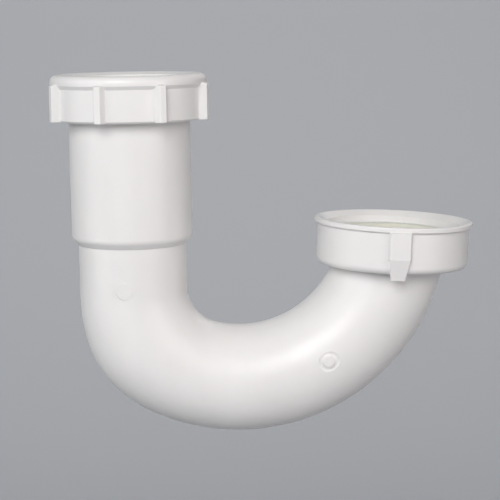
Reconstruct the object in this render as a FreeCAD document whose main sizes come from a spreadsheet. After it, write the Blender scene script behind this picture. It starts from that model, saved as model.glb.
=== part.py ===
"""Tubular P-trap bend for a 1-1/2 in drain: bend, two slip nuts and two sealing washers.

Millimetres, +Z up. The origin is the centre of the inlet mouth, and +Z is the inlet's axis.
The bend lies in the XZ plane, and the outlet is on the +X side.
"""
import FreeCAD, Part
import Sketcher
import math
import os
import re

VECTOR = FreeCAD.Vector
Z_AXIS = VECTOR(0, 0, 1)
Y_AXIS = VECTOR(0, 1, 0)
X_AXIS = VECTOR(1, 0, 0)

doc = FreeCAD.newDocument("p_trap")
sheet = doc.addObject("Spreadsheet::Sheet", "sizes")

DRIVING_SIZES = [
    # the drain tube and its route, in the plane of the bend
    ("tube_radius", 19.05), ("bore_radius", 16.4),
    ("bend_start", -73.16), ("tight_radius", 30.44), ("tight_turn", 71.3),
    ("wide_radius", 54.74), ("outlet_tilt", 3.0), ("inner_swell", 0.6), ("outer_swell", 1.33),
    ("wall_joint", 2.0),
    # inlet hub: socket for the tailpiece, foot, and threaded land
    ("hub_radius", 21.3), ("hub_foot", -52.95), ("taper_height", 2.3), ("foot_radius", 19.3),
    ("hub_foot_round", 2.4),
    ("socket_radius", 19.2), ("socket_depth", 49.0), ("seat_radius", 22.1), ("seat_depth", 4.0),
    ("land_radius", 22.7), ("land_height", 9.6), ("land_taper", 1.4),
    # slip-joint thread: 11-1/2 threads per inch
    ("pitch", 2.209), ("crest_radius", 24.0), ("crest_width", 0.5), ("root_width", 1.5),
    ("root_sink", 0.2), ("nut_crest_radius", 22.95), ("nut_bore_radius", 24.25),
    ("hub_turns", 3.5), ("nut_turns", 4), ("thread_lead", 0.8), ("outlet_thread_drop", 11.9),
    # inlet slip nut
    ("nut_top", 4.23), ("nut_height", 15.86), ("nut_roof", 2.4), ("nut_hole_radius", 21.0),
    ("dish_radius", 24.2), ("dish_depth", 0.9), ("nut_edge", 0.6),
    ("panel_radius", 26.6), ("band_radius", 27.5), ("band_height", 3.3), ("ledge", 1.3), ("shoulder", 2.4),
    ("rib_radius", 29.3), ("rib_face", 2.3), ("rib_foot", 5.0), ("rib_foot_radius", 25.4),
    ("rib_top_drop", 3.4), ("rib_top_slope", 1.2), ("first_rib", 69.5),
    ("rib_foot_round", 0.8), ("rib_round", 0.4),
    # inlet washer
    ("washer_hole_radius", 19.15), ("washer_radius", 23.2), ("washer_gap", 0.15),
    ("washer_lip", 1.53), ("cone_height", 3.5), ("cone_tip_radius", 19.3),
    ("cone_slack", 0.25),
    # outlet nut, measured down its own axis from its rim
    ("rim_distance", 4.26), ("rim_radius", 28.05), ("rim_height", 1.9), ("rim_round", 0.5),
    ("outlet_radius", 27.0), ("outlet_height", 16.48), ("outlet_floor", 3.0),
    ("outlet_foot_round", 2.5), ("hole_ease", 1.0),
    ("outlet_hole_radius", 21.2), ("mouth_radius", 26.5), ("lead_in", 1.9),
    ("lug_radius", 28.9), ("lug_width", 7.0), ("lug_flank", 1.2), ("lug_flat", 11.0),
    ("lug_tip", 18.4), ("lug_tip_width", 4.8), ("lug_tip_shift", 0.3),
    ("lug_tip_radius", 26.6), ("lug_core_radius", 24.9), ("lug_turn", 357.7),
    ("lug_round", 0.5),
    # outlet flange of the bend and the washer on it
    ("flange_drop", 6.8), ("flange_height", 2.5), ("flange_radius", 22.6),
    ("flange_fillet", 1.6), ("neck_sink", 0.3), ("outlet_washer_height", 2.65),
    ("outlet_washer_hole", 17.0), ("outlet_washer_radius", 22.3), ("outlet_washer_bevel", 0.7),
    # moulding marks on the bend
    ("pip_radius", 1.75), ("pip_height", 0.3), ("gate_turn", 122.6), ("gate_ring_radius", 2.95),
    ("gate_ring_depth", 0.4), ("button_radius", 2.8), ("button_height", 0.1),
    ("button_side", -2.7), ("button_level", -69.9), ("mark_root", 17.4),
    # how far a cutting tool runs past the face it opens
    ("past", 1.0),
]

# how many sections each stretch of the route's loft has
LEG_STEPS = 5
TIGHT_STEPS = 10
WIDE_STEPS = 18
# the tube's wall ends inside the outlet flange, this far round the wide bend
LAST_WALL_FRACTION = 0.96
RIBS = 8
LUGS = 2
# where each thread begins, as a formula for its level
HUB_THREAD_START = "thread_lead - land_height"
NUT_THREAD_START = "thread_lead - land_height - pitch / 2"
OUTLET_THREAD_START = "0 - outlet_thread_drop"
# for choosing edges to round: the least rise of an upright edge, and two distances
UPRIGHT_RISE = 3.0
SAME_PLACE = 0.01
NEAR = 0.4
# a rough outline of the thread's ridge, which the sketch's constraints then size
ROUGH_ROOT = 20.0
ROUGH_CREST = 22.0
ROUGH_HALF_WIDTH = 1.0


def fill_sheet():
    """Write every driving size as plain text and give its cell a name."""
    for row, (alias, value) in enumerate(DRIVING_SIZES, start=1):
        sheet.set("A%d" % row, alias)
        sheet.set("B%d" % row, str(value))
        sheet.setAlias("B%d" % row, alias)
    doc.recompute()


def formula(text):
    """Turn a formula in the sheet's words into an expression on its cells."""
    aliases = {alias for alias, value in DRIVING_SIZES}
    return re.sub(r"[a-z_]+", lambda word: cell_name(word.group(), aliases), text)


def cell_name(word, aliases):
    return "sizes." + word if word in aliases else word


def bind(item, **formulas):
    """Bind properties of a document object to formulas on the sheet; __ stands for a dot."""
    for name, text in formulas.items():
        item.setExpression(name.replace("__", "."), formula(text))
    return item


def cylinder(name, radius, height, bottom):
    item = doc.addObject("Part::Cylinder", name)
    return bind(item, Radius=radius, Height=height, Placement__Base__z=bottom)


def cone(name, low_radius, high_radius, height, bottom):
    item = doc.addObject("Part::Cone", name)
    bind(item, Radius1=low_radius, Radius2=high_radius)
    return bind(item, Height=height, Placement__Base__z=bottom)


def ring(name, ring_radius, section_radius, level):
    item = doc.addObject("Part::Torus", name)
    return bind(item, Radius1=ring_radius, Radius2=section_radius, Placement__Base__z=level)


def fuse(name, *pieces, refine=True):
    item = doc.addObject("Part::MultiFuse", name)
    item.Shapes = list(pieces)
    item.Refine = refine
    return item


def cut(name, base, tool):
    item = doc.addObject("Part::Cut", name)
    item.Base = base
    item.Tool = tool
    item.Refine = True
    return item


def from_axis(vertex):
    """A corner's distance from the piece's own axis, Z."""
    return math.hypot(vertex.X, vertex.Y)


def soften(name, base, radius, chosen):
    """Round the edges of a piece that the test called chosen picks; radius names a cell."""
    doc.recompute()
    rounding = float(sheet.get(radius))
    edges = []
    for number, edge in enumerate(base.Shape.Edges, start=1):
        if chosen(edge):
            edges.append((number, rounding, rounding))
    item = doc.addObject("Part::Fillet", name)
    item.Base = base
    item.Edges = edges
    return item


# ---- the bend's centreline: leg, tight elbow, wide bend ----

def turn_of(fraction_of_tight, fraction_of_wide):
    """Angle turned since the leg, for a place part of the way along each arc."""
    wide_turn = "(180 - outlet_tilt - tight_turn)"
    return "(%.6f * tight_turn + %.6f * %s)" % (fraction_of_tight, fraction_of_wide, wide_turn)


def set_station(item, x, z, turn):
    """Set a flat section square across the centreline."""
    item.Placement = FreeCAD.Placement(VECTOR(), FreeCAD.Rotation(Y_AXIS, 1))
    bind(item, Placement__Base__x=x, Placement__Base__z=z)
    return bind(item, Placement__Rotation__Angle="(0 - %s) * 1 deg" % turn)


def section(name, radius, x, z, turn):
    item = doc.addObject("Part::Circle", name)
    bind(item, Radius=radius)
    return set_station(item, x, z, turn)


def leg_section(name, radius, top, fraction):
    level = "%s + (bend_start - (%s)) * %.6f" % (top, top, fraction)
    return section(name, radius, "0", level, "0")


def tight_section(name, radius, fraction, swells):
    """A section of the tight elbow, grown by one swell inwards and by another outwards."""
    turn = turn_of(fraction, 0)
    inner = "%s * sin(180 deg * %.4f)" % ("inner_swell" if swells else "0", fraction)
    outer = "%s * sin(180 deg * %.4f)^2" % ("outer_swell" if swells else "0", fraction)
    reach = "(tight_radius + (%s - %s) / 2)" % (outer, inner)
    x = "tight_radius - %s * cos(%s * 1 deg)" % (reach, turn)
    z = "bend_start - %s * sin(%s * 1 deg)" % (reach, turn)
    return section(name, "%s + (%s + %s) / 2" % (radius, outer, inner), x, z, turn)


def wide_point(turn):
    """X and Z of a point on the wide bend's centreline at a given turn."""
    x = "tight_radius + (wide_radius - tight_radius) * cos(tight_turn * 1 deg)"
    z = "bend_start + (wide_radius - tight_radius) * sin(tight_turn * 1 deg)"
    x += " - wide_radius * cos(%s * 1 deg)" % turn
    z += " - wide_radius * sin(%s * 1 deg)" % turn
    return x, z


def wide_section(name, radius, fraction):
    turn = turn_of(1, fraction)
    x, z = wide_point(turn)
    return section(name, radius, x, z, turn)


def route_loft(name, radius, swells, top, last_fraction):
    """A round solid along the whole route, which may swell in the tight elbow."""
    sections = []
    for step in range(LEG_STEPS):
        sections.append(leg_section("%s_leg_%d" % (name, step), radius, top, step / LEG_STEPS))
    for step in range(TIGHT_STEPS):
        fraction = step / TIGHT_STEPS
        sections.append(tight_section("%s_tight_%d" % (name, step), radius, fraction, swells))
    for step in range(WIDE_STEPS + 1):
        fraction = last_fraction * step / WIDE_STEPS
        sections.append(wide_section("%s_wide_%d" % (name, step), radius, fraction))
    loft = doc.addObject("Part::Loft", name)
    loft.Sections = sections
    loft.Solid = True
    loft.Ruled = False
    return loft


def to_outlet(item, drop="0"):
    """Carry a piece drawn about Z, its zero at the outlet nut's rim, to the outlet."""
    end_x, end_z = wide_point("(180 - outlet_tilt)")
    reach = "(rim_distance - (%s))" % drop
    item.Placement = FreeCAD.Placement(VECTOR(), FreeCAD.Rotation(Y_AXIS, 1))
    bind(item, Placement__Base__x="%s + %s * sin(outlet_tilt * 1 deg)" % (end_x, reach))
    bind(item, Placement__Base__z="%s + %s * cos(outlet_tilt * 1 deg)" % (end_z, reach))
    return bind(item, Placement__Rotation__Angle="outlet_tilt * 1 deg")


# ---- slip-joint thread ----

def trapezoid(name, base_radius, tip_radius, level):
    """The ridge's section in the XZ plane, symmetric about its own level."""
    sketch = doc.addObject("Sketcher::SketchObject", name)
    sketch.Placement = FreeCAD.Placement(VECTOR(), FreeCAD.Rotation(X_AXIS, 90))
    corners = [VECTOR(ROUGH_ROOT, -ROUGH_HALF_WIDTH), VECTOR(ROUGH_CREST, -ROUGH_HALF_WIDTH),
               VECTOR(ROUGH_CREST, ROUGH_HALF_WIDTH), VECTOR(ROUGH_ROOT, ROUGH_HALF_WIDTH)]
    for index in range(4):
        line = Part.LineSegment(corners[index], corners[(index + 1) % 4])
        sketch.addGeometry(line, False)
    for index in range(4):
        joint = Sketcher.Constraint("Coincident", index, 2, (index + 1) % 4, 1)
        sketch.addConstraint(joint)
    sketch.addConstraint(Sketcher.Constraint("Symmetric", 1, 1, 1, 2, -1))
    sketch.addConstraint(Sketcher.Constraint("Symmetric", 3, 1, 3, 2, -1))
    measures = [
        (Sketcher.Constraint("DistanceX", -1, 1, 1, 1, ROUGH_CREST), tip_radius),
        (Sketcher.Constraint("DistanceX", -1, 1, 3, 1, ROUGH_ROOT), base_radius),
        (Sketcher.Constraint("DistanceY", 1, 1, 1, 2, 2 * ROUGH_HALF_WIDTH), "crest_width"),
        (Sketcher.Constraint("DistanceY", 3, 2, 3, 1, 2 * ROUGH_HALF_WIDTH), "root_width"),
    ]
    for constraint, text in measures:
        index = sketch.addConstraint(constraint)
        sketch.setExpression("Constraints[%d]" % index, formula(text))
    return bind(sketch, Placement__Base__z=level)


def thread_ridge(name, base_radius, tip_radius, start, turns):
    """A right-hand helical ridge from base_radius to tip_radius, a whole number of turns."""
    helix = doc.addObject("Part::Helix", name + "_helix")
    helix.SegmentLength = 0
    bind(helix, Pitch="pitch", Height="pitch * %s" % turns, Radius=base_radius)
    bind(helix, Placement__Base__z=start)
    ridge = doc.addObject("Part::Sweep", name)
    ridge.Sections = [trapezoid(name + "_section", base_radius, tip_radius, start)]
    ridge.Spine = (helix, ["Edge1"])
    ridge.Solid = True
    ridge.Frenet = True
    return ridge


# ---- the bend: one moulding from the inlet hub to the outlet flange ----

def inlet_hub():
    """Socket hub with its tapered foot, threaded land and lead-in cone."""
    wall = cylinder("hub_wall", "hub_radius", "0 - hub_foot - land_taper", "hub_foot")
    taper = cone("hub_taper", "foot_radius", "hub_radius", "taper_height",
                 "hub_foot - taper_height")
    hub = soften("hub_rounded", fuse("hub_body", wall, taper), "hub_foot_round", on_hub_foot)
    land = cylinder("thread_land", "land_radius", "land_height", "0 - land_height")
    lead = cone("land_lead", "hub_radius", "land_radius", "land_taper",
                "0 - land_height - land_taper")
    ridge = thread_ridge("hub_thread", "land_radius - root_sink", "crest_radius",
                         HUB_THREAD_START, "hub_turns")
    return [hub, land, lead, ridge]


def socket_tools():
    """The socket for the tailpiece, with a conical seat at its mouth for the washer."""
    socket = cylinder("socket", "socket_radius", "socket_depth + past", "0 - socket_depth")
    seat = cone("washer_seat", "socket_radius", "seat_radius", "seat_depth", "0 - seat_depth")
    return [socket, seat]


def outlet_flange():
    """A flat-topped ring round the bend's open end, which the outlet nut pulls up."""
    flange = cylinder("flange", "flange_radius", "flange_height", "0")
    to_outlet(flange, "flange_drop + flange_height")
    neck = cone("flange_neck", "tube_radius - neck_sink", "flange_radius", "flange_fillet", "0")
    to_outlet(neck, "flange_drop + flange_height + flange_fillet")
    return [flange, neck]


def front_disc(name, radius, tip, x, z):
    """A disc on the front of the bend, whose flat end stands at a distance from the XZ plane."""
    disc = doc.addObject("Part::Cylinder", name)
    disc.Placement = FreeCAD.Placement(VECTOR(), FreeCAD.Rotation(X_AXIS, 90))
    bind(disc, Radius=radius, Height="%s - mark_root" % tip)
    return bind(disc, Placement__Base__x=x, Placement__Base__z=z,
                Placement__Base__y="0 - mark_root")


def gate_mark():
    """The mould's gate: a nub in the middle of a shallow round groove."""
    x, z = wide_point("gate_turn")
    nub = front_disc("gate_nub", "pip_radius", "tube_radius + pip_height", x, z)
    groove = doc.addObject("Part::Torus", "gate_groove")
    groove.Placement = FreeCAD.Placement(VECTOR(), FreeCAD.Rotation(X_AXIS, 90))
    bind(groove, Radius1="gate_ring_radius", Radius2="gate_ring_radius - pip_radius")
    bind(groove, Placement__Base__x=x, Placement__Base__z=z,
         Placement__Base__y="gate_ring_depth - tube_radius - gate_ring_radius + pip_radius")
    return nub, groove


def ejector_button():
    """The low round mark of an ejector pin, at the foot of the leg."""
    return front_disc("ejector_button", "button_radius", "tube_radius + button_height",
                      "button_side", "button_level")


def make_bend():
    tube = route_loft("bend_wall", "tube_radius", True, "hub_foot", LAST_WALL_FRACTION)
    bore = route_loft("bend_bore", "bore_radius", False, "wall_joint - socket_depth", 1)
    nub, groove = gate_mark()
    wall = fuse("bend_marked_wall", cut("bend_grooved_wall", tube, groove), nub,
                ejector_button())
    solid = fuse("bend_solid", wall, *inlet_hub(), *outlet_flange())
    hollow = fuse("bend_hollow", bore, *socket_tools())
    return cut("j_bend", solid, hollow)


# ---- inlet slip nut: eight ribs, closed roof with the tailpiece hole ----

def rounded_top():
    """The plain band at the nut's top, with a quarter-round shoulder."""
    level = "nut_top - shoulder"
    band = cylinder("nut_band", "band_radius", "band_height - shoulder", "nut_top - band_height")
    whole_ring = ring("nut_shoulder_ring", "band_radius - shoulder", "shoulder", level)
    below = cylinder("below_shoulder", "band_radius + past", "2 * shoulder",
                     "nut_top - 3 * shoulder")
    shoulder = cut("nut_shoulder", whole_ring, below)
    roof = cylinder("nut_roof_disc", "band_radius - shoulder", "band_height",
                    "nut_top - band_height")
    ledge = cone("nut_ledge", "panel_radius", "band_radius", "ledge",
                 "nut_top - band_height - ledge")
    return [band, shoulder, roof, ledge]


def nut_rib(index):
    """One grip rib: a slope-sided bar standing on the panel, with a sloping top."""
    rib = doc.addObject("Part::Wedge", "nut_rib_%d" % index)
    turn = "(first_rib - %d)" % (index * 360 // RIBS)
    bind(rib, Xmin="0 - rib_foot / 2", Xmax="rib_foot / 2", X2min="0 - rib_face / 2",
         X2max="rib_face / 2", Ymin="rib_foot_radius", Ymax="rib_radius")
    bind(rib, Zmin="nut_top - nut_height", Z2min="nut_top - nut_height",
         Zmax="nut_top - rib_top_drop + rib_top_slope", Z2max="nut_top - rib_top_drop")
    rib.Placement = FreeCAD.Placement(VECTOR(), FreeCAD.Rotation(Z_AXIS, 1))
    return bind(rib, Placement__Rotation__Angle="(180 + %s) * 1 deg" % turn)


def is_upright(edge):
    ends = edge.Vertexes
    return len(ends) == 2 and abs(ends[0].Z - ends[1].Z) > UPRIGHT_RISE


def is_circle_at(edge, radius, level):
    """Whether an edge is a full circle about Z, of a given radius and level."""
    ends = edge.Vertexes
    if len(ends) != 1 or abs(ends[0].Z - level) > SAME_PLACE:
        return False
    return abs(from_axis(ends[0]) - radius) < SAME_PLACE


def on_hub_foot(edge):
    """The circle where the hub's wall turns in to its taper."""
    return is_circle_at(edge, float(sheet.get("hub_radius")), float(sheet.get("hub_foot")))


def on_outlet_foot(edge):
    """The outer circle of the outlet nut's underside."""
    level = 0 - float(sheet.get("outlet_height"))
    return is_circle_at(edge, float(sheet.get("outlet_radius")), level)


def on_rib_foot(edge):
    """The inner corner between a rib's flank and the panel."""
    panel = float(sheet.get("panel_radius"))
    return is_upright(edge) and abs(from_axis(edge.Vertexes[0]) - panel) < NEAR


def on_rib_face(edge):
    """Any edge that meets a rib's outer face."""
    limit = float(sheet.get("rib_radius")) - NEAR
    return any(from_axis(vertex) > limit for vertex in edge.Vertexes)


def on_lug_side(edge):
    """The long corners of a lug's face."""
    limit = float(sheet.get("lug_radius")) - NEAR
    return is_upright(edge) and all(from_axis(vertex) > limit for vertex in edge.Vertexes)


def make_inlet_nut():
    bottom = "nut_top - nut_height"
    panel = cylinder("nut_panel", "panel_radius", "nut_height - shoulder - nut_edge",
                     bottom + " + nut_edge")
    edge = cone("nut_foot", "panel_radius - nut_edge", "panel_radius", "nut_edge", bottom)
    ribs = [nut_rib(index) for index in range(RIBS)]
    solid = fuse("inlet_nut_solid", panel, edge, *rounded_top(), *ribs)
    thread_bore = cylinder("nut_bore", "nut_bore_radius", "nut_height - nut_roof", bottom)
    hole = cylinder("nut_hole", "nut_hole_radius", "nut_height + past", bottom)
    mouth = cone("nut_mouth", "nut_bore_radius + thread_lead", "nut_bore_radius",
                 "thread_lead", bottom)
    dish = cone("nut_dish", "nut_hole_radius", "dish_radius", "dish_depth",
                "nut_top - dish_depth")
    hollow = fuse("inlet_nut_hollow", thread_bore, hole, mouth, dish)
    footed = soften("rib_feet", solid, "rib_foot_round", on_rib_foot)
    softened = soften("rib_faces", footed, "rib_round", on_rib_face)
    shell = cut("inlet_nut_shell", softened, hollow)
    ridge = thread_ridge("inlet_nut_thread", "nut_bore_radius + root_sink",
                         "nut_crest_radius", NUT_THREAD_START, "nut_turns")
    return fuse("inlet_slip_nut", shell, ridge, refine=False)


def make_inlet_washer():
    """Bevelled sealing ring: a flat lip on the hub's end and a cone into the hub's seat."""
    lip = cylinder("washer_lip_disc", "washer_radius", "washer_lip", "washer_gap")
    wedge = cone("washer_cone", "cone_tip_radius", "seat_radius - cone_slack",
                 "cone_height + washer_gap", "0 - cone_height")
    solid = fuse("inlet_washer_solid", lip, wedge)
    hole = cylinder("washer_hole", "washer_hole_radius",
                    "cone_height + washer_gap + washer_lip + 2 * past",
                    "0 - cone_height - past")
    return cut("inlet_washer", solid, hole)


# ---- outlet nut: beaded rim, two wing lugs, open floor that rides on the bend ----

def outlet_lug(index):
    """One wing lug: a flat-faced bar whose lower end tapers in to a blunt point."""
    turn = "(%d + lug_turn) * 1 deg" % (180 + index * 360 // LUGS)
    bar = doc.addObject("Part::Wedge", "outlet_lug_bar_%d" % index)
    bind(bar, Xmin="0 - lug_width / 2 - lug_flank", Xmax="lug_width / 2 + lug_flank",
         X2min="0 - lug_width / 2", X2max="lug_width / 2", Ymin="lug_core_radius",
         Ymax="lug_radius")
    bind(bar, Zmin="0 - lug_flat", Z2min="0 - lug_flat", Zmax="0 - rim_height / 2",
         Z2max="0 - rim_height")
    tip = doc.addObject("Part::Loft", "outlet_lug_tip_%d" % index)
    tip.Sections = [
        lug_section("outlet_lug_top_%d" % index, "lug_width", "0", "lug_radius", "lug_flat"),
        lug_section("outlet_lug_point_%d" % index, "lug_tip_width", "lug_tip_shift",
                    "lug_tip_radius", "lug_tip")]
    tip.Solid = True
    tip.Ruled = True
    for piece in (bar, tip):
        piece.Placement = FreeCAD.Placement(VECTOR(), FreeCAD.Rotation(Z_AXIS, 1))
        bind(piece, Placement__Rotation__Angle=turn)
    return [bar, tip]


def lug_section(name, width, shift, radius, drop):
    """A flat rectangle across the lug, from its core out to its face."""
    plane = doc.addObject("Part::Plane", name)
    bind(plane, Length=width, Width="%s - lug_core_radius" % radius)
    return bind(plane, Placement__Base__x="%s - %s / 2" % (shift, width),
                Placement__Base__y="lug_core_radius", Placement__Base__z="0 - %s" % drop)


def outlet_rim():
    """The rim: a thin band with rounded outer edges that stands out from the nut's wall."""
    middle = cylinder("rim_band", "rim_radius", "rim_height - 2 * rim_round",
                      "rim_round - rim_height")
    core = cylinder("rim_core", "rim_radius - rim_round", "rim_height", "0 - rim_height")
    upper = ring("rim_upper_edge", "rim_radius - rim_round", "rim_round", "0 - rim_round")
    lower = ring("rim_lower_edge", "rim_radius - rim_round", "rim_round",
                 "rim_round - rim_height")
    return [middle, core, upper, lower]


def make_outlet_nut():
    floor = "0 - outlet_height"
    barrel = cylinder("outlet_wall", "outlet_radius", "outlet_height - rim_height / 2", floor)
    wall = soften("outlet_foot", barrel, "outlet_foot_round", on_outlet_foot)
    lugs = [piece for index in range(LUGS) for piece in outlet_lug(index)]
    solid = fuse("outlet_nut_solid", wall, *outlet_rim(), *lugs)
    bore = cylinder("outlet_bore", "nut_bore_radius", "outlet_height",
                    "outlet_floor - outlet_height")
    lead = cone("outlet_lead", "nut_bore_radius", "mouth_radius", "lead_in", "0 - lead_in")
    hole = cylinder("outlet_hole", "outlet_hole_radius", "outlet_height + 2 * past",
                    "0 - outlet_height - past")
    eased = cone("outlet_hole_ease", "outlet_hole_radius + hole_ease", "outlet_hole_radius",
                 "hole_ease", floor)
    hollow = fuse("outlet_nut_hollow", bore, lead, hole, eased)
    softened = soften("lug_sides", solid, "lug_round", on_lug_side)
    shell = cut("outlet_nut_shell", softened, hollow)
    ridge = thread_ridge("outlet_nut_thread", "nut_bore_radius + root_sink",
                         "nut_crest_radius", OUTLET_THREAD_START, "nut_turns")
    return to_outlet(fuse("outlet_nut", shell, ridge, refine=False))


def make_outlet_washer():
    """Flat ring with bevelled edges, lying on the bend's flange."""
    bottom = "washer_gap"
    bevel_start = "washer_gap + outlet_washer_height - outlet_washer_bevel"
    disc = cylinder("outlet_washer_disc", "outlet_washer_radius",
                    "outlet_washer_height - outlet_washer_bevel", bottom)
    bevel = cone("outlet_washer_bevel_cone", "outlet_washer_radius",
                 "outlet_washer_radius - outlet_washer_bevel", "outlet_washer_bevel", bevel_start)
    hole = cylinder("outlet_washer_bore", "outlet_washer_hole",
                    "outlet_washer_height + washer_gap + 2 * past", "0 - past")
    eased = cone("outlet_washer_ease", "outlet_washer_hole",
                 "outlet_washer_hole + outlet_washer_bevel", "outlet_washer_bevel", bevel_start)
    solid = fuse("outlet_washer_solid", disc, bevel)
    hollow = fuse("outlet_washer_hollow", hole, eased)
    return to_outlet(cut("outlet_washer", solid, hollow), "flange_drop")


def check_document():
    """Stop before anything is written if an object has failed."""
    for item in doc.Objects:
        bad = [state for state in item.State if state in ("Invalid", "Error")]
        if bad:
            raise RuntimeError("%s failed: %s" % (item.Name, item.State))


def write_parts(parts):
    os.makedirs("parts", exist_ok=True)
    for part in parts:
        shape = part.Shape
        if shape.isNull() or not shape.isValid() or len(shape.Solids) != 1:
            raise RuntimeError("%s has no single valid solid" % part.Label)
    for part in parts:
        part.Shape.exportStep("parts/%s.step" % part.Label)
        box = part.Shape.BoundBox
        print("%s: %.0f mm3, x %.1f..%.1f, y %.1f..%.1f, z %.1f..%.1f" % (
            part.Label, part.Shape.Volume, box.XMin, box.XMax, box.YMin, box.YMax,
            box.ZMin, box.ZMax))


fill_sheet()
parts = [make_bend(), make_inlet_nut(), make_inlet_washer(), make_outlet_nut(),
         make_outlet_washer()]
doc.recompute()
check_document()
write_parts(parts)
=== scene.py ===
import math

import bpy
from mathutils import Matrix, Vector


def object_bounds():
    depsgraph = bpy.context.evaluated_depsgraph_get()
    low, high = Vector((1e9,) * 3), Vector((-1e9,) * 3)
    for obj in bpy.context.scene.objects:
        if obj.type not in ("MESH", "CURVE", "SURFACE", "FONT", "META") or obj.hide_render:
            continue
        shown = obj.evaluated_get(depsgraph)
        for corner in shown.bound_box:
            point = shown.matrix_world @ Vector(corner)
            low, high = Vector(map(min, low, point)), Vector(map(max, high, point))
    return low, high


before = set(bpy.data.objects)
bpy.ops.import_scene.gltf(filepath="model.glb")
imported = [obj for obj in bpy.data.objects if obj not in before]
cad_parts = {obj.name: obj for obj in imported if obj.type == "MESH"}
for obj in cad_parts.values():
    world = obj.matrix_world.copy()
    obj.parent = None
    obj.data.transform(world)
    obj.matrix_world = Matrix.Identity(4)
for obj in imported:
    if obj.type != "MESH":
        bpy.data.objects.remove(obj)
cad_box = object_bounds()

# ---- the camera: where it stands in the row frame, in metres, and how it is turned ----

CAMERA_PLACE = Vector((0.01336, -0.57034, 0.02302))
CAMERA_YAW = 0.0495
CAMERA_PITCH = 0.1426
CAMERA_ROLL = -0.0158
FOCAL_OVER_WIDTH = 1618.7 / 500
SENSOR_WIDTH = 36.0

FLOOR_CLEARANCE = 0.300


def camera_rotation():
    """Looks along +Y, turned by yaw to the right, then down by pitch, then rolled."""
    cy, sy = math.cos(CAMERA_YAW), math.sin(CAMERA_YAW)
    cp, sp = math.cos(CAMERA_PITCH), math.sin(CAMERA_PITCH)
    cr, sr = math.cos(CAMERA_ROLL), math.sin(CAMERA_ROLL)
    ahead = Vector((sy * cp, cy * cp, -sp))
    right = Vector((cy, -sy, 0.0))
    up = right.cross(ahead)
    rolled_right = right * cr + up * sr
    rolled_up = up * cr - right * sr
    return Matrix((rolled_right, rolled_up, -ahead)).transposed()


def make_camera():
    data = bpy.data.cameras.new("photo_camera")
    data.sensor_width = SENSOR_WIDTH
    data.lens = FOCAL_OVER_WIDTH * SENSOR_WIDTH
    data.clip_start = 0.01
    data.clip_end = 20.0
    camera = bpy.data.objects.new("photo_camera", data)
    bpy.context.scene.collection.objects.link(camera)
    place = camera_rotation().to_4x4()
    place.translation = CAMERA_PLACE
    camera.matrix_world = place
    bpy.context.scene.camera = camera


# ---- node helpers ----

def new_material(name):
    material = bpy.data.materials.new(name)
    material.use_nodes = True
    tree = material.node_tree
    tree.nodes.clear()
    output = tree.nodes.new("ShaderNodeOutputMaterial")
    shader = tree.nodes.new("ShaderNodeBsdfPrincipled")
    tree.links.new(shader.outputs["BSDF"], output.inputs["Surface"])
    return material, tree, shader


def object_place(tree):
    return tree.nodes.new("ShaderNodeTexCoord").outputs["Object"]


def stretched(tree, vector, scale):
    mapping = tree.nodes.new("ShaderNodeMapping")
    mapping.inputs["Scale"].default_value = scale
    tree.links.new(vector, mapping.inputs["Vector"])
    return mapping.outputs["Vector"]


def noise(tree, vector, scale, detail=3.0, roughness=0.55):
    node = tree.nodes.new("ShaderNodeTexNoise")
    node.inputs["Scale"].default_value = scale
    node.inputs["Detail"].default_value = detail
    node.inputs["Roughness"].default_value = roughness
    tree.links.new(vector, node.inputs["Vector"])
    return node.outputs["Fac"]


def remap(tree, value, low, high, to_low, to_high):
    node = tree.nodes.new("ShaderNodeMapRange")
    node.inputs["From Min"].default_value = low
    node.inputs["From Max"].default_value = high
    node.inputs["To Min"].default_value = to_low
    node.inputs["To Max"].default_value = to_high
    tree.links.new(value, node.inputs["Value"])
    return node.outputs["Result"]


def math_node(tree, operation, first, second):
    node = tree.nodes.new("ShaderNodeMath")
    node.operation = operation
    for socket, value in zip(node.inputs, (first, second)):
        if isinstance(value, (int, float)):
            socket.default_value = value
        else:
            tree.links.new(value, socket)
    return node.outputs["Value"]


def colour_mix(tree, factor, first, second):
    node = tree.nodes.new("ShaderNodeMix")
    node.data_type = "RGBA"
    tree.links.new(factor, node.inputs["Factor"])
    for name, value in (("A", first), ("B", second)):
        socket = [item for item in node.inputs if item.name == name and item.type == "RGBA"][0]
        if isinstance(value, tuple):
            socket.default_value = value
        else:
            tree.links.new(value, socket)
    return [item for item in node.outputs if item.type == "RGBA"][0]


def bump(tree, height, strength, distance, under=None):
    node = tree.nodes.new("ShaderNodeBump")
    node.inputs["Strength"].default_value = strength
    node.inputs["Distance"].default_value = distance
    tree.links.new(height, node.inputs["Height"])
    if under is not None:
        tree.links.new(under, node.inputs["Normal"])
    return node.outputs["Normal"]


# ---- materials ----

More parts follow.
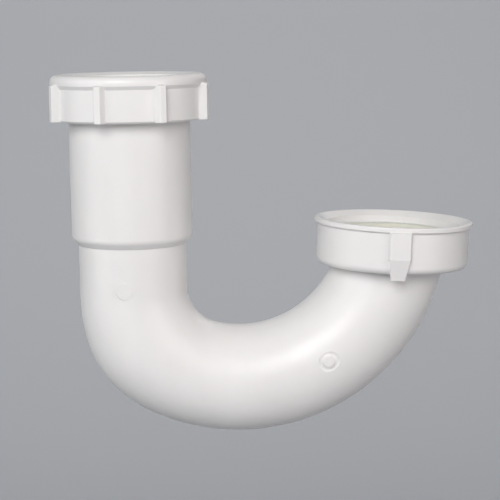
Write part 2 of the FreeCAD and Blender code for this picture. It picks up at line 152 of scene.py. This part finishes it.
def white_plastic():
    """Injection-moulded white polypropylene: satin, faint flow clouds, orange peel, scuffs."""
    material, tree, shader = new_material("white_plastic")
    place = object_place(tree)
    clouds = noise(tree, stretched(tree, place, (1.0, 1.0, 0.45)), 38.0, 4.0)
    colour = colour_mix(tree, remap(tree, clouds, 0.35, 0.65, 0.0, 1.0),
                        (0.80, 0.79, 0.782, 1.0), (0.84, 0.83, 0.822, 1.0))
    tree.links.new(colour, shader.inputs["Base Color"])
    smears = noise(tree, stretched(tree, place, (1.0, 1.0, 0.3)), 160.0, 5.0)
    roughness = remap(tree, smears, 0.3, 0.7, 0.30, 0.40)
    tree.links.new(roughness, shader.inputs["Roughness"])
    peel = noise(tree, place, 420.0, 2.0)
    waves = noise(tree, place, 60.0, 2.0)
    soft = bump(tree, waves, 0.25, 0.0006)
    tree.links.new(bump(tree, peel, 0.12, 0.0002, soft), shader.inputs["Normal"])
    shader.inputs["IOR"].default_value = 1.49
    shader.inputs["Subsurface Weight"].default_value = 0.12
    shader.inputs["Subsurface Radius"].default_value = (1.0, 0.85, 0.7)
    shader.inputs["Subsurface Scale"].default_value = 0.0018
    return material


def washer_plastic():
    """Cream polyethylene: waxy, softer gloss, fine turning lines."""
    material, tree, shader = new_material("washer_plastic")
    place = object_place(tree)
    clouds = noise(tree, place, 70.0, 3.0)
    colour = colour_mix(tree, remap(tree, clouds, 0.35, 0.65, 0.0, 1.0),
                        (0.74, 0.74, 0.64, 1.0), (0.80, 0.80, 0.71, 1.0))
    tree.links.new(colour, shader.inputs["Base Color"])
    grain = noise(tree, place, 520.0, 3.0)
    tree.links.new(remap(tree, grain, 0.3, 0.7, 0.42, 0.55), shader.inputs["Roughness"])
    tree.links.new(bump(tree, grain, 0.15, 0.0002), shader.inputs["Normal"])
    shader.inputs["IOR"].default_value = 1.51
    shader.inputs["Subsurface Weight"].default_value = 0.3
    shader.inputs["Subsurface Radius"].default_value = (1.0, 0.9, 0.7)
    shader.inputs["Subsurface Scale"].default_value = 0.002
    return material


def paint_nodes():
    white = white_plastic()
    cream = washer_plastic()
    looks = {"j_bend": white, "inlet_slip_nut": white, "outlet_nut": white,
             "inlet_washer": cream, "outlet_washer": cream}
    for name, material in looks.items():
        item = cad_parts[name]
        for slot in item.material_slots:
            slot.link = "OBJECT"
            slot.material = material


# ---- floor, backdrop and lights ----

def stage_material():
    material, tree, shader = new_material("stage_grey")
    shader.inputs["Base Color"].default_value = (0.36, 0.37, 0.39, 1.0)
    shader.inputs["Roughness"].default_value = 0.9
    return material


def make_stage():
    """A pale floor under the trap that curves up behind it."""
    floor_level = cad_box[0][2] - FLOOR_CLEARANCE
    points = []
    back_start = 0.9
    radius = 0.5
    for depth in (-2.5, -1.0, 0.0, back_start):
        points.append((depth, floor_level))
    for step in range(1, 13):
        angle = math.radians(90 * step / 12)
        points.append((back_start + radius * math.sin(angle),
                       floor_level + radius * (1 - math.cos(angle))))
    points.append((back_start + radius, floor_level + 3.0))
    half_width = 3.0
    vertices = [(side * half_width, y, z) for y, z in points for side in (-1, 1)]
    faces = [(2 * i, 2 * i + 1, 2 * i + 3, 2 * i + 2) for i in range(len(points) - 1)]
    mesh = bpy.data.meshes.new("floor")
    mesh.from_pydata(vertices, [], faces)
    for face in mesh.polygons:
        face.use_smooth = True
    mesh.materials.append(stage_material())
    floor = bpy.data.objects.new("floor", mesh)
    bpy.context.scene.collection.objects.link(floor)


def area_light(name, place, target, size, power, colour=(1.0, 1.0, 1.0)):
    data = bpy.data.lights.new(name, "AREA")
    data.shape = "RECTANGLE"
    data.size = size[0]
    data.size_y = size[1]
    data.energy = power
    data.color = colour
    light = bpy.data.objects.new(name, data)
    bpy.context.scene.collection.objects.link(light)
    light.location = place
    ahead = Vector(target) - Vector(place)
    light.rotation_euler = ahead.to_track_quat("-Z", "Y").to_euler()


def make_world():
    """A faint grey light from all round, and colours shown as they are lit."""
    world = bpy.data.worlds.new("soft_grey")
    world.use_nodes = True
    background = world.node_tree.nodes["Background"]
    background.inputs["Color"].default_value = (0.80, 0.81, 0.83, 1.0)
    background.inputs["Strength"].default_value = 0.11
    bpy.context.scene.world = world
    bpy.context.scene.view_settings.view_transform = "Standard"


def make_lights():
    """A broad key in front and above, a tall wall of light on the left, and a warm fill."""
    centre = (0.047, 0.0, -0.06)
    area_light("key", (-0.32, -1.15, 0.58), centre, (0.7, 0.7), 11.8, (1.0, 0.995, 0.99))
    area_light("left_wall", (-1.10, -0.45, 0.10), centre, (0.9, 1.8), 6.5)
    area_light("fill", (0.95, -0.95, 0.25), centre, (1.0, 1.0), 7.0, (1.0, 0.94, 0.93))
    area_light("top", (0.05, 0.0, 1.0), centre, (0.7, 0.7), 0.5)
    area_light("back", (0.7, 1.1, 0.7), centre, (0.8, 0.8), 1.5)
    area_light("backdrop", (0.0, 0.9, 0.6), (0.0, 1.4, -0.3), (2.4, 0.3), 9.5)


paint_nodes()
make_stage()
make_world()
make_lights()
make_camera()
